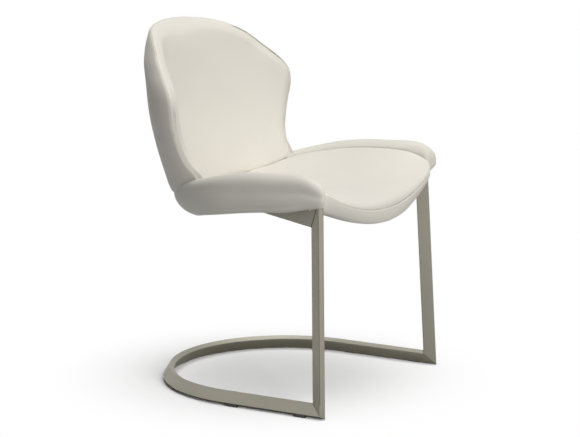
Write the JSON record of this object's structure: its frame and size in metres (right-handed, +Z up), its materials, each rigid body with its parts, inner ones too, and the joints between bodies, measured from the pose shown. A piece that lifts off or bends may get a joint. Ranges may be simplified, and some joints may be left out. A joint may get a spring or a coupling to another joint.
{
  "type": "cantilever dining chair",
  "caption": "Cantilever dining chair: flat-sided steel tube with a half-round floor ring, dished padded seat with side wings and a wrap-round padded back",
  "frame": {"origin": "middle of the chair's footprint, on the floor", "axes": "+Z up, -Y to the front where the sitter's knees are, +Y to the back, X across; the chair is symmetric about X = 0"},
  "size_m": [0.5752, 0.597, 0.8271],
  "materials": {
    "frame_metal": "fine satin, warm grey",
    "plate_metal": "black powder coat",
    "fastener": "bright zinc plate",
    "spacer": "plain",
    "glide": "moulded nylon",
    "board": "raw beech plywood",
    "cover": "non-woven sheet",
    "leather": "smooth off-white",
    "panel_leather": "smooth off-white"
  },
  "bodies": {
    "root": {"base_ring": "frame_metal", "leg_left": "frame_metal", "leg_right": "frame_metal", "seat_rail_left": "frame_metal", "seat_rail_right": "frame_metal", "cross_plate_front": "plate_metal", "cross_plate_rear": "plate_metal", "back_bracket_left": "plate_metal", "back_bracket_right": "plate_metal", "seat_bolts": "fastener", "seat_washers": "fastener", "insert_nuts": "fastener", "bracket_screws": "fastener", "seat_spacers": "spacer", "glide_left_front": "glide", "glide_left_rear": "glide", "glide_right_front": "glide", "glide_right_rear": "glide", "glide_back": "glide", "seat_board": "board", "back_board": "board", "under_seat_cover": "cover", "seat_pan_cushion": "leather", "back_front_pad": "leather", "seat_front_apron": "panel_leather", "seat_side_band": "panel_leather", "back_rear_pad": "panel_leather"}
  },
  "joints": []
}
